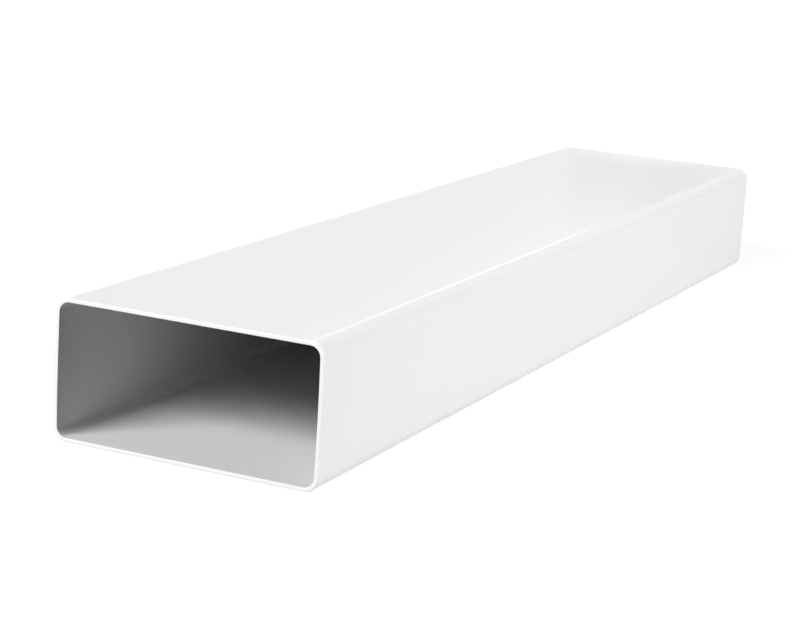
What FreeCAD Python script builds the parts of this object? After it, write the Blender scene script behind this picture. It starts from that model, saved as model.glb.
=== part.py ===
# Flat channel duct: one straight length of extruded white PVC with a low oblong section.
# X runs across the width, Y along the length and Z up.
# The origin is on the floor, under the middle of the duct.
import FreeCAD, Part
import enum
import math
import os
import Sketcher

# Driving dimensions in millimetres.
SIZES = {
    "duct_length": 500.0,    # sawn length, along Y
    "duct_width": 110.0,     # overall width, measured over the crowned sides
    "duct_height": 54.0,     # overall height, over the two flat broad walls
    "wall": 1.6,             # wall thickness, the same all round
    "corner_radius": 5.5,    # outside radius of the four corners
    "side_crown": 0.3,       # how far a short side stands out at mid height
    "end_deburr": 0.25,      # chamfer on the outer and inner edge of each sawn end
}


class Axis(enum.IntEnum):
    # The sketch's own axes: across the duct, and up its middle.
    ACROSS = -1
    UP = -2


class Spot(enum.IntEnum):
    # The places on a curve that a constraint can name.
    START = 1
    END = 2
    CENTRE = 3


# The eight curves of one outline, anticlockwise from the floor.
CURVES = (
    "bottom", "bottom_right", "right", "top_right",
    "top", "top_left", "left", "bottom_left",
)
CORNERS = ("bottom_right", "top_right", "top_left", "bottom_left")
ROUNDED = CORNERS + ("right", "left")

# A short side is a shallow arc, which rises by the crown over the height between the corners.
SIDE_RADIUS = (
    "((sizes.duct_height / 2 - sizes.corner_radius) ^ 2 + sizes.side_crown ^ 2)"
    " / (2 * sizes.side_crown)"
)


def make_sheet(doc):
    sheet = doc.addObject("Spreadsheet::Sheet", "sizes")
    for row, (alias, value) in enumerate(SIZES.items(), start=1):
        sheet.set(f"A{row}", alias)
        sheet.set(f"B{row}", str(value))
        sheet.setAlias(f"B{row}", alias)
    doc.recompute()
    return sheet


def side_radius(sheet):
    # The same radius in numbers, for the places that the sketch's curves start from.
    half_span = sheet.duct_height / 2 - sheet.corner_radius
    return (half_span**2 + sheet.side_crown**2) / (2 * sheet.side_crown)


def outline_curves(sheet, inset):
    # One closed outline of the section, the given distance inside the outer surface.
    height, corner = sheet.duct_height, sheet.corner_radius
    side = side_radius(sheet)
    side_x = sheet.duct_width / 2 - side
    corner_x = side_x + math.sqrt((side - corner) ** 2 - (height / 2 - corner) ** 2)
    swing = math.asin((height / 2 - corner) / (side - corner))
    half_turn, quarter_turn = math.pi, math.pi / 2

    def point(x, z):
        return FreeCAD.Vector(x, z, 0)

    def line(x_from, x_to, z):
        return Part.LineSegment(point(x_from, z), point(x_to, z))

    def arc(x, z, radius, angle_from, angle_to):
        circle = Part.Circle(point(x, z), FreeCAD.Vector(0, 0, 1), radius - inset)
        return Part.ArcOfCircle(circle, angle_from, angle_to)

    return {
        "bottom": line(-corner_x, corner_x, inset),
        "bottom_right": arc(corner_x, corner, corner, -quarter_turn, -swing),
        "right": arc(side_x, height / 2, side, -swing, swing),
        "top_right": arc(corner_x, height - corner, corner, swing, quarter_turn),
        "top": line(corner_x, -corner_x, height - inset),
        "top_left": arc(-corner_x, height - corner, corner, quarter_turn, half_turn - swing),
        "left": arc(-side_x, height / 2, side, half_turn - swing, half_turn + swing),
        "bottom_left": arc(-corner_x, corner, corner, half_turn + swing, half_turn + quarter_turn),
    }


def tie(sketch, kind, *references):
    return sketch.addConstraint(Sketcher.Constraint(kind, *references))


def drive(sketch, name, expression, kind, *references):
    # A named dimension of the sketch, bound to the sheet.
    index = tie(sketch, kind, *references)
    sketch.renameConstraint(index, name)
    sketch.setExpression(f"Constraints.{name}", expression)


def add_outline(sketch, sheet, inset):
    # Draws an outline and makes each curve run smoothly into the next.
    curves = outline_curves(sheet, inset)
    place = {name: sketch.addGeometry(curves[name], False) for name in CURVES}
    for name, following in zip(CURVES, CURVES[1:] + CURVES[:1]):
        tie(sketch, "Tangent", place[name], Spot.END, place[following], Spot.START)
    return place


def draw_section(sketch, sheet):
    outer = add_outline(sketch, sheet, 0.0)
    inner = add_outline(sketch, sheet, sheet.wall)

    # The outer outline is the same left and right, and stands on the floor.
    tie(sketch, "Symmetric", outer["bottom"], Spot.START, outer["bottom"], Spot.END, Axis.UP)
    tie(sketch, "Symmetric", outer["top"], Spot.START, outer["top"], Spot.END, Axis.UP)
    tie(sketch, "Equal", outer["bottom"], outer["top"])
    tie(sketch, "PointOnObject", outer["bottom"], Spot.START, Axis.ACROSS)
    for name in CORNERS[1:]:
        tie(sketch, "Equal", outer[CORNERS[0]], outer[name])
    tie(sketch, "Equal", outer["right"], outer["left"])

    # The inner outline has the outer one's centres, so the wall is even.
    for name in ROUNDED:
        tie(sketch, "Coincident", inner[name], Spot.CENTRE, outer[name], Spot.CENTRE)
    tie(sketch, "Equal", inner["bottom_right"], inner["bottom_left"])

    drive(
        sketch, "height", "sizes.duct_height",
        "DistanceY", outer["bottom"], Spot.END, outer["top"], Spot.START, sheet.duct_height,
    )
    drive(
        sketch, "wall", "sizes.wall",
        "DistanceY", outer["bottom"], Spot.START, inner["bottom"], Spot.START, sheet.wall,
    )
    drive(sketch, "corner", "sizes.corner_radius", "Radius", outer["bottom_right"], sheet.corner_radius)

    # Each side's centre lies past the middle, so far that the two crowns are the width apart.
    side = side_radius(sheet)
    drive(sketch, "side", SIDE_RADIUS, "Radius", outer["right"], side)
    drive(
        sketch, "centres", f"2 * {SIDE_RADIUS} - sizes.duct_width",
        "DistanceX", outer["right"], Spot.CENTRE, outer["left"], Spot.CENTRE, 2 * side - sheet.duct_width,
    )


def origin_plane(body, role):
    return next(plane for plane in body.Origin.OriginFeatures if plane.Role == role)


def end_faces(shape):
    # The two sawn faces, square to the length.
    return [
        f"Face{number}"
        for number, face in enumerate(shape.Faces, start=1)
        if face.Surface.TypeId == "Part::GeomPlane" and abs(face.normalAt(0, 0).y) > 0.999
    ]


def make_channel(doc, sheet):
    body = doc.addObject("PartDesign::Body", "flat_channel")
    body.Label = "flat_channel"

    section = body.newObject("Sketcher::SketchObject", "section")
    section.AttachmentSupport = (origin_plane(body, "XZ_Plane"), [""])
    section.MapMode = "FlatFace"
    doc.recompute()
    draw_section(section, sheet)
    doc.recompute()

    extrusion = body.newObject("PartDesign::Pad", "extrusion")
    extrusion.Profile = section
    extrusion.SideType = "Symmetric"
    extrusion.setExpression("Length", "sizes.duct_length")
    doc.recompute()

    deburr = body.newObject("PartDesign::Chamfer", "deburr")
    deburr.Base = (extrusion, end_faces(extrusion.Shape))
    deburr.setExpression("Size", "sizes.end_deburr")
    doc.recompute()
    body.Tip = deburr
    doc.recompute()
    return body


def check(doc, bodies):
    for item in doc.Objects:
        if "Invalid" in item.State or "Error" in item.State:
            raise RuntimeError(f"{item.Label} did not build: {item.State}")
    for body in bodies:
        if body.Shape.isNull() or not body.Shape.isValid():
            raise RuntimeError(f"{body.Label} has no sound shape")


def main():
    doc = FreeCAD.newDocument("flat_channel_duct")
    sheet = make_sheet(doc)
    bodies = [make_channel(doc, sheet)]
    check(doc, bodies)
    os.makedirs("parts", exist_ok=True)
    for body in bodies:
        body.Shape.exportStep(os.path.join("parts", body.Label + ".step"))
        box = body.Shape.BoundBox
        print(
            f"{body.Label}: {box.XLength:.2f} x {box.YLength:.2f} x {box.ZLength:.2f} mm,"
            f" {body.Shape.Volume / 1000:.2f} cm3, {len(body.Shape.Solids)} solid"
        )


main()
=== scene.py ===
# Flat channel duct in white PVC, dressed for the studio
import bmesh
import bpy
import math
from mathutils import Matrix, Quaternion, Vector


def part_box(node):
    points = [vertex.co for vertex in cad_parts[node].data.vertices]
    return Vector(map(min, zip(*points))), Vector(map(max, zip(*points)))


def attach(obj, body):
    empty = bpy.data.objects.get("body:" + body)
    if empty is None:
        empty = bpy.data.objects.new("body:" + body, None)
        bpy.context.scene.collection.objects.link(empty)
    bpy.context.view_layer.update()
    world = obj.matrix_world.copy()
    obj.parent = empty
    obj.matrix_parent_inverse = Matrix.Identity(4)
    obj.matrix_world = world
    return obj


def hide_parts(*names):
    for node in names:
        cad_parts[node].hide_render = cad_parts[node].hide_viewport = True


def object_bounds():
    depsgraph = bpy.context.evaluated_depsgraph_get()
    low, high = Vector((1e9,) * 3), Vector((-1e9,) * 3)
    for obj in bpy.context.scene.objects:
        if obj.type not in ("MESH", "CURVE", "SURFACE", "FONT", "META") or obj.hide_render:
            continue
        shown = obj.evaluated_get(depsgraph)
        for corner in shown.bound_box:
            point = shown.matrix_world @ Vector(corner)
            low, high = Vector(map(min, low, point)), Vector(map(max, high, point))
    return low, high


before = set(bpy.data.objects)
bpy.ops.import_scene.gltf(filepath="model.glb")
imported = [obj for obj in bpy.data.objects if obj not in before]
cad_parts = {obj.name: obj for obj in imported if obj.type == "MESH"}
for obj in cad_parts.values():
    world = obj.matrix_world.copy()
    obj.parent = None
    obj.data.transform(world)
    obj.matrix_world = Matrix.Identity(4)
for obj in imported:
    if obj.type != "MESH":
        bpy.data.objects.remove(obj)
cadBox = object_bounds()
print("frame loaded, nodes:", sorted(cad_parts))

vectorSocket, floatSocket = "NodeSocketVector", "NodeSocketFloat"


# node helpers
def addNode(tree, kind, values=None, **settings):
    node = tree.nodes.new(kind)
    for name, value in settings.items():
        setattr(node, name, value)
    for socket, value in (values or {}).items():
        node.inputs[socket].default_value = value
    return node


def link(tree, *pairs):
    for source, target in pairs:
        tree.links.new(source, target)


def newGroup(name, inputs, outputs):
    tree = bpy.data.node_groups.new(name, "ShaderNodeTree")
    for direction, sockets in (("INPUT", inputs), ("OUTPUT", outputs)):
        for socket, kind in sockets.items():
            tree.interface.new_socket(name=socket, in_out=direction, socket_type=kind)
    return tree, tree.nodes.new("NodeGroupInput"), tree.nodes.new("NodeGroupOutput")


def useGroup(tree, group, place, **values):
    node = addNode(tree, "ShaderNodeGroup", values, node_tree=group)
    link(tree, (place, node.inputs["Place"]))
    return node


relief = {
    "lineStretch": (1.0, 0.004, 1.0),    # a line is 250 times as long as it is wide
    "lineDetail": 3.0,
    "lineCrispness": 0.6,
    "grainDetail": 2.0,
    "grainCrispness": 0.5,
}


# lines that the die leaves along the duct: noise drawn out along Y
def makeDieLines():
    tree, given, out = newGroup(
        "dieLines", {"Place": vectorSocket, "LinesPerMetre": floatSocket}, {"Height": floatSocket},
    )
    drawnOut = addNode(tree, "ShaderNodeVectorMath", {1: relief["lineStretch"]}, operation="MULTIPLY")
    noise = addNode(
        tree, "ShaderNodeTexNoise",
        {"Detail": relief["lineDetail"], "Roughness": relief["lineCrispness"]},
    )
    link(
        tree,
        (given.outputs["Place"], drawnOut.inputs[0]),
        (drawnOut.outputs[0], noise.inputs["Vector"]),
        (given.outputs["LinesPerMetre"], noise.inputs["Scale"]),
        (noise.outputs["Fac"], out.inputs["Height"]),
    )
    return tree


# fine satin grain of the plastic
def makeFineGrain():
    tree, given, out = newGroup(
        "fineGrain", {"Place": vectorSocket, "GrainsPerMetre": floatSocket}, {"Height": floatSocket},
    )
    noise = addNode(
        tree, "ShaderNodeTexNoise",
        {"Detail": relief["grainDetail"], "Roughness": relief["grainCrispness"]},
    )
    link(
        tree,
        (given.outputs["Place"], noise.inputs["Vector"]),
        (given.outputs["GrainsPerMetre"], noise.inputs["Scale"]),
        (noise.outputs["Fac"], out.inputs["Height"]),
    )
    return tree


# a few specks of dust: small spots round scattered points, each of its own size
def makeDustSpecks():
    tree, given, out = newGroup(
        "dustSpecks",
        {"Place": vectorSocket, "PointsPerMetre": floatSocket, "Size": floatSocket},
        {"Mask": floatSocket},
    )
    cells = addNode(tree, "ShaderNodeTexVoronoi")
    parts = addNode(tree, "ShaderNodeSeparateColor")
    reach = addNode(tree, "ShaderNodeMath", operation="MULTIPLY")
    fade = addNode(
        tree, "ShaderNodeMapRange", {"To Min": 1.0, "To Max": 0.0}, interpolation_type="SMOOTHSTEP",
    )
    link(
        tree,
        (given.outputs["Place"], cells.inputs["Vector"]),
        (given.outputs["PointsPerMetre"], cells.inputs["Scale"]),
        (cells.outputs["Color"], parts.inputs["Color"]),
        (parts.outputs["Red"], reach.inputs[0]),
        (given.outputs["Size"], reach.inputs[1]),
        (cells.outputs["Distance"], fade.inputs["Value"]),
        (reach.outputs[0], fade.inputs["From Max"]),
        (fade.outputs["Result"], out.inputs["Mask"]),
    )
    return tree


dieLines = makeDieLines()
fineGrain = makeFineGrain()
dustSpecks = makeDustSpecks()

pvcIor = 1.53

# lines, grain, specks and marks are counted along a metre, and depths are in metres
skin = {
    "colour": (0.803, 0.788, 0.788, 1.0),
    "dust": (0.62, 0.60, 0.58, 1.0),
    "roughness": (0.18, 0.2),       # glossy and dull die lines
    "lines": 450.0,
    "lineDepth": 0.0000015,
    "grain": 2600.0,
    "grainDepth": 0.0000003,
    "specks": 60.0,
    "speckSize": 0.03,              # radius of the largest, as a share of the spacing
}
bore = {
    # darker than the skin, though it is the same PVC: painted shade for the inside of the bore, and its
    # dust is darkened with it
    "colour": (0.71, 0.70, 0.698, 1.0),
    "dust": (0.55, 0.53, 0.51, 1.0),
    "roughness": (0.38, 0.42),
    "lines": 330.0,
    "lineDepth": 0.000003,
    "grain": 2000.0,
    "grainDepth": 0.0000005,
    "specks": 60.0,
    "speckSize": 0.03,
}
sawn = {
    # lighter than the skin, though it is the same PVC: painted light that brightens the sawn rim; the saw
    # marks are its own texture
    "colour": (0.885, 0.877, 0.873, 1.0),
    "markColour": (0.841, 0.833, 0.829, 1.0),
    "roughness": (0.55, 0.72),
    "marks": 1500.0,                # saw marks up the cut
    "markStretch": 0.03,            # a mark's width as a share of its length
    "markDetail": 2.0,
    "markDepth": 0.00001,
    "grain": 4200.0,
    "grainDepth": 0.000003,
}


def newMaterial(name):
    material = bpy.data.materials.new(name)
    material.use_nodes = True
    tree = material.node_tree
    shader = tree.nodes["Principled BSDF"]
    shader.inputs["IOR"].default_value = pvcIor
    place = tree.nodes.new("ShaderNodeTexCoord").outputs["Object"]
    return material, tree, shader, place


# roughness between two values, by a height
def glossRange(tree, shader, height, roughness):
    gloss = addNode(tree, "ShaderNodeMapRange", {"To Min": roughness[0], "To Max": roughness[1]})
    link(
        tree,
        (height, gloss.inputs["Value"]),
        (gloss.outputs["Result"], shader.inputs["Roughness"]),
    )


# bumps laid one on the other
def bumpChain(tree, shader, *layers):
    normal = None
    for height, depth in layers:
        bump = addNode(tree, "ShaderNodeBump", {"Distance": depth})
        link(tree, (height, bump.inputs["Height"]))
        if normal is not None:
            link(tree, (normal, bump.inputs["Normal"]))
        normal = bump.outputs["Normal"]
    link(tree, (normal, shader.inputs["Normal"]))


# extruded faces, outside and in the bore
def extrudedPvc(name, look):
    material, tree, shader, place = newMaterial(name)
    lines = useGroup(tree, dieLines, place, LinesPerMetre=look["lines"]).outputs["Height"]
    grain = useGroup(tree, fineGrain, place, GrainsPerMetre=look["grain"]).outputs["Height"]
    specks = useGroup(tree, dustSpecks, place, PointsPerMetre=look["specks"], Size=look["speckSize"])
    colour = addNode(tree, "ShaderNodeMix", {"A": look["colour"], "B": look["dust"]}, data_type="RGBA")
    link(
        tree,
        (specks.outputs["Mask"], colour.inputs["Factor"]),
        (colour.outputs["Result"], shader.inputs["Base Color"]),
    )
    glossRange(tree, shader, lines, look["roughness"])
    bumpChain(tree, shader, (lines, look["lineDepth"]), (grain, look["grainDepth"]))
    return material


# dull cut face with fine saw marks
def sawnPvc(name, look):
    material, tree, shader, place = newMaterial(name)
    grain = useGroup(tree, fineGrain, place, GrainsPerMetre=look["grain"]).outputs["Height"]
    upright = addNode(tree, "ShaderNodeMapping", {"Scale": (1.0, 1.0, look["markStretch"])})
    noise = addNode(tree, "ShaderNodeTexNoise", {"Scale": look["marks"], "Detail": look["markDetail"]})
    marks = noise.outputs["Fac"]
    shade = addNode(tree, "ShaderNodeMix", {"A": look["colour"], "B": look["markColour"]}, data_type="RGBA")
    link(
        tree,
        (place, upright.inputs["Vector"]),
        (upright.outputs["Vector"], noise.inputs["Vector"]),
        (marks, shade.inputs["Factor"]),
        (shade.outputs["Result"], shader.inputs["Base Color"]),
    )
    glossRange(tree, shader, grain, look["roughness"])
    bumpChain(tree, shader, (marks, look["markDepth"]), (grain, look["grainDepth"]))
    return material


# the bore's material is a darker copy of the skin for painted shade, and the sawn end's a lighter copy for
# painted light
materials = [extrudedPvc("ductSkin", skin), extrudedPvc("ductBorePaintedShade", bore), sawnPvc("sawnEndPaintedLight", sawn)]
skinSlot, boreSlot, sawnSlot = range(len(materials))
print("materials made:", [material.name for material in materials])

duct = {
    "wall": 0.0016,            # even all round
    "cornerRadius": 0.0055,    # outside
    "cornerSegments": 14,
    "sideCrown": 0.0003,       # the short sides stand out this far at mid height
    "sideCuts": 11,
    "broadCuts": 15,
    "lengthCuts": 24,
    "deburr": 0.00025,         # rounded edge of the sawn ends
    "deburrSegments": 3,
    "mergeWithin": 0.000001,
    "flatFirst": 100,          # large faces keep their flat shading beside the rounded edges
}
xAxis, yAxis, zAxis = 0, 1, 2
inLine = 0.999                 # cosine from which a direction counts as along an axis


def runsAlong(edge, axis):
    line = (edge.verts[1].co - edge.verts[0].co).normalized()
    return abs(line[axis]) > inLine


# the section's outline at the near end, filled with one face
def drawSection(bm, low, high):
    across = ((low.x, low.z), (high.x, low.z), (high.x, high.z), (low.x, high.z))
    corners = [bm.verts.new((x, low.y, z)) for x, z in across]
    bm.faces.new(corners)
    bmesh.ops.bevel(
        bm, geom=corners, offset=duct["cornerRadius"], offset_type="OFFSET", affect="VERTICES",
        segments=duct["cornerSegments"], profile=0.5, material=-1,
    )
    straight = [edge for edge in bm.edges if edge.calc_length() > duct["cornerRadius"]]
    upright = [edge for edge in straight if runsAlong(edge, zAxis)]
    level = [edge for edge in straight if runsAlong(edge, xAxis)]
    bmesh.ops.subdivide_edges(bm, edges=upright, cuts=duct["sideCuts"])
    bmesh.ops.subdivide_edges(bm, edges=level, cuts=duct["broadCuts"])


# the sides fall back from mid height towards the top and the floor
def crownSides(bm, low, high):
    middle, half = (low.z + high.z) / 2, (high.z - low.z) / 2
    for vert in bm.verts:
        fall = duct["sideCrown"] * ((vert.co.z - middle) / half) ** 2
        vert.co.x -= math.copysign(fall, vert.co.x)


# draws the section out along the duct
def drawOut(bm, length):
    drawn = bmesh.ops.extrude_face_region(bm, geom=bm.faces[:])["geom"]
    moved = [part for part in drawn if isinstance(part, bmesh.types.BMVert)]
    bmesh.ops.translate(bm, verts=moved, vec=(0.0, length, 0.0))
    for face in bm.faces:
        face.material_index = skinSlot


# a ring at each end, then the bore from one to the other
def openBore(bm):
    bm.normal_update()
    ends = [face for face in bm.faces if abs(face.normal.y) > inLine]
    rings = bmesh.ops.inset_region(bm, faces=ends, thickness=duct["wall"], use_even_offset=True)["faces"]
    bmesh.ops.delete(bm, geom=ends, context="FACES_ONLY")
    mouths = [edge for edge in bm.edges if edge.is_boundary]
    inside = bmesh.ops.bridge_loops(bm, edges=mouths)["faces"]
    for face in inside:
        face.material_index = boreSlot
    for face in rings:
        face.material_index = sawnSlot
    lengthwise = [edge for edge in bm.edges if runsAlong(edge, yAxis)]
    bmesh.ops.subdivide_edges(bm, edges=lengthwise, cuts=duct["lengthCuts"], use_grid_fill=True)


# eases both edges of each sawn ring
def deburrEnds(bm):
    cut = [
        edge for edge in bm.edges
        if sorted(face.material_index == sawnSlot for face in edge.link_faces) == [False, True]
    ]
    eased = bmesh.ops.bevel(
        bm, geom=cut, offset=duct["deburr"], offset_type="OFFSET", affect="EDGES",
        segments=duct["deburrSegments"], profile=0.5, material=-1,
    )
    for face in eased["faces"]:
        face.material_index = sawnSlot


def makeDuct(low, high):
    bm = bmesh.new()
    drawSection(bm, low, high)
    crownSides(bm, low, high)
    drawOut(bm, high.y - low.y)
    openBore(bm)
    deburrEnds(bm)
    bmesh.ops.remove_doubles(bm, verts=bm.verts, dist=duct["mergeWithin"])
    bmesh.ops.recalc_face_normals(bm, faces=bm.faces)
    for face in bm.faces:
        face.smooth = True
    mesh = bpy.data.meshes.new("ductChannel")
    bm.to_mesh(mesh)
    bm.free()
    for material in materials:
        mesh.materials.append(material)
    piece = bpy.data.objects.new("duct_channel", mesh)
    bpy.context.scene.collection.objects.link(piece)
    even = piece.modifiers.new("evenShading", "WEIGHTED_NORMAL")
    even.mode = "FACE_AREA"
    even.weight = duct["flatFirst"]
    return piece


channel = makeDuct(*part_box("flat_channel"))
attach(channel, "root")
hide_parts("flat_channel")
print("duct made, faces:", len(channel.data.polygons))

studio = {
    "floorSize": 12.0,
    "floorColour": (0.12, 0.12, 0.12, 1.0),    # what the floor throws back onto the duct
    "floorShade": (0.30, 0.30, 0.30, 1.0),     # what the camera sees of the light and shadow on the floor
    "glow": (0.87, 1.0),                       # added to it, beside the duct and far off
    "glowReach": (0.4, 1.1),                   # from the middle of the floor
    "white": (1.0, 1.0, 1.0, 1.0),
    "worldFill": 0.03,                         # faint light on the duct from all round
    "worldSeen": 1.0,                          # plain white
}


# 1 for what the camera sees, straight, mirrored or through glass, and 0 for light that bounces
def seenDirectly(tree):
    path = tree.nodes.new("ShaderNodeLightPath")
    either = addNode(tree, "ShaderNodeMath", operation="MAXIMUM")
    seen = addNode(tree, "ShaderNodeMath", operation="MAXIMUM")
    link(
        tree,
        (path.outputs["Is Camera Ray"], either.inputs[0]),
        (path.outputs["Is Glossy Ray"], either.inputs[1]),
        (either.outputs[0], seen.inputs[0]),
        (path.outputs["Is Transmission Ray"], seen.inputs[1]),
    )
    return seen.outputs[0]


def floorMaterial():
    material = bpy.data.materials.new("studioFloor")
    material.use_nodes = True
    tree = material.node_tree
    tree.nodes.clear()
    bounce = addNode(tree, "ShaderNodeBsdfDiffuse", {"Color": studio["floorColour"]})
    shade = addNode(tree, "ShaderNodeBsdfDiffuse", {"Color": studio["floorShade"]})
    place = tree.nodes.new("ShaderNodeTexCoord").outputs["Object"]
    away = addNode(tree, "ShaderNodeVectorMath", operation="LENGTH")
    (nearBy, farOff), (glowNear, glowFar) = studio["glowReach"], studio["glow"]
    rise = addNode(
        tree, "ShaderNodeMapRange",
        {"From Min": nearBy, "From Max": farOff, "To Min": glowNear, "To Max": glowFar},
        interpolation_type="SMOOTHSTEP",
    )
    glow = tree.nodes.new("ShaderNodeEmission")
    shown = tree.nodes.new("ShaderNodeAddShader")
    either = tree.nodes.new("ShaderNodeMixShader")
    out = tree.nodes.new("ShaderNodeOutputMaterial")
    link(
        tree,
        (place, away.inputs[0]),
        (away.outputs["Value"], rise.inputs["Value"]),
        (rise.outputs["Result"], glow.inputs["Strength"]),
        (glow.outputs[0], shown.inputs[0]),
        (shade.outputs[0], shown.inputs[1]),
        (seenDirectly(tree), either.inputs[0]),
        (bounce.outputs[0], either.inputs[1]),
        (shown.outputs[0], either.inputs[2]),
        (either.outputs[0], out.inputs["Surface"]),
    )
    return material


def makeFloor():
    bm = bmesh.new()
    bmesh.ops.create_grid(bm, x_segments=1, y_segments=1, size=studio["floorSize"] / 2)
    mesh = bpy.data.meshes.new("studioFloor")
    bm.to_mesh(mesh)
    bm.free()
    mesh.materials.append(floorMaterial())
    floor = bpy.data.objects.new("studio_floor", mesh)
    bpy.context.scene.collection.objects.link(floor)


def makeWorld():
    world = bpy.data.worlds.new("studioWorld")
    world.use_nodes = True
    tree = world.node_tree
    tree.nodes.clear()
    fill = addNode(
        tree, "ShaderNodeBackground", {"Color": studio["white"], "Strength": studio["worldFill"]},
    )
    backdrop = addNode(
        tree, "ShaderNodeBackground", {"Color": studio["white"], "Strength": studio["worldSeen"]},
    )
    either = tree.nodes.new("ShaderNodeMixShader")
    out = tree.nodes.new("ShaderNodeOutputWorld")
    link(
        tree,
        (seenDirectly(tree), either.inputs[0]),
        (fill.outputs[0], either.inputs[1]),
        (backdrop.outputs[0], either.inputs[2]),
        (either.outputs[0], out.inputs["Surface"]),
    )
    bpy.context.scene.world = world


# the duct shows a lamp in its gloss only where shine is on, and the last three lamps are close to it
rightSide, backEnd, topFace = cadBox[1]
lamps = {
    "keySoftbox": {      # from the front left: the top, the near rim and the floor of the bore
        "at": (-0.943, -2.383, 1.664), "aim": (0, -0.05, 0.03), "size": (1.7, 0.98),
        "watts": 117.0, "shine": False,
    },
    "sideSoftbox": {     # the right side
        "at": (1.2, -0.1, 0.25), "aim": (0, -0.1, 0.03), "size": (0.28, 0.3),
        "watts": 11.5, "shine": False,
    },
    "rearLeft": {        # the left side and the back end
        "at": (-1.595, 1.851, 0.335), "aim": (0, 0, 0.03), "size": (0.6, 0.4),
        "watts": 30.0, "shine": False,
    },
    "rearRight": {       # the right side and the back end
        "at": (1.423, 1.983, 0.335), "aim": (0, 0, 0.03), "size": (0.6, 0.4),
        "watts": 11.5, "shine": False,
    },
    "cornerLight": {     # bright line along the upper right corner, and sheen on the far half of the top
        "at": (-0.443, 0.98, 0.509), "aim": (-0.443, 0, 0.509), "size": (0.54, 0.115),
        "watts": 0.325, "shine": True, "roll": 40.5,
    },
    "rearPanel": {       # sheen on the far half of that corner
        "at": (0.12, 1.25, 0.42), "aim": (0.05, 0, 0.054), "size": (0.8, 0.4),
        "watts": 0.3, "shine": True,
    },
    "sheenLight": {      # sheen on the left of the top, in the far half
        "at": (-0.6, 1.09, 0.21), "aim": (0, 0, 0.054), "size": (0.45, 0.2),
        "watts": 0.045, "shine": True,
    },
    "cornerCard": {      # evens out the upper right corner
        "at": (rightSide + 0.01, 0, topFace + 0.0077), "aim": (rightSide - 0.0016, 0, topFace - 0.002),
        "size": (0.5, 0.006), "watts": 0.0012, "shine": False,
    },
    "floorCard": {       # lifts the foot of the right side
        "at": (rightSide + 0.035, 0, 0.005), "aim": (rightSide, 0, 0.005), "size": (0.5, 0.01),
        "watts": 0.0065, "shine": False,
    },
    "farEdgeLight": {    # lifts the far edge of the top
        "at": (-0.005, backEnd, topFace + 0.028), "aim": (-0.005, backEnd, topFace),
        "size": (0.06, 0.012), "watts": 0.003, "shine": False,
    },
}


def makeLamp(name, lamp):
    data = bpy.data.lights.new(name, "AREA")
    data.shape = "RECTANGLE"
    data.size, data.size_y = lamp["size"]
    data.energy = lamp["watts"]
    softbox = bpy.data.objects.new(name, data)
    softbox.location = lamp["at"]
    softbox.visible_camera = False
    softbox.visible_glossy = lamp["shine"]
    facing = (Vector(lamp["aim"]) - Vector(lamp["at"])).to_track_quat("-Z", "Y")
    roll = Quaternion((0, 0, 1), math.radians(lamp.get("roll", 0.0)))
    softbox.rotation_euler = (facing @ roll).to_euler()
    bpy.context.scene.collection.objects.link(softbox)


makeFloor()
makeWorld()
for name, lamp in lamps.items():
    makeLamp(name, lamp)
print("studio made, lamps:", list(lamps))

# fitted to the duct's edges in the photograph
view = {
    "at": (0.37232, -0.87756, 0.22856),
    "azimuth": 24.813,
    "elevation": 13.187,    # looking down
    "roll": 3.571,
    "lens": 95.913,         # millimetres, as the sensor is
    "sensor": 36.0,
    "nearest": 0.01,        # metres, nothing closer is drawn
}


def makeCamera():
    data = bpy.data.cameras.new("photoView")
    data.sensor_width = view["sensor"]
    data.lens = view["lens"]
    data.clip_start = view["nearest"]
    camera = bpy.data.objects.new("photoView", data)
    camera.matrix_world = (
        Matrix.Translation(view["at"])
        @ Matrix.Rotation(math.radians(view["azimuth"]), 4, "Z")
        @ Matrix.Rotation(math.radians(90 - view["elevation"]), 4, "X")
        @ Matrix.Rotation(math.radians(view["roll"]), 4, "Z")
    )
    bpy.context.scene.collection.objects.link(camera)
    bpy.context.scene.camera = camera


makeCamera()
bpy.context.scene.view_settings.view_transform = "Standard"
print("camera set")
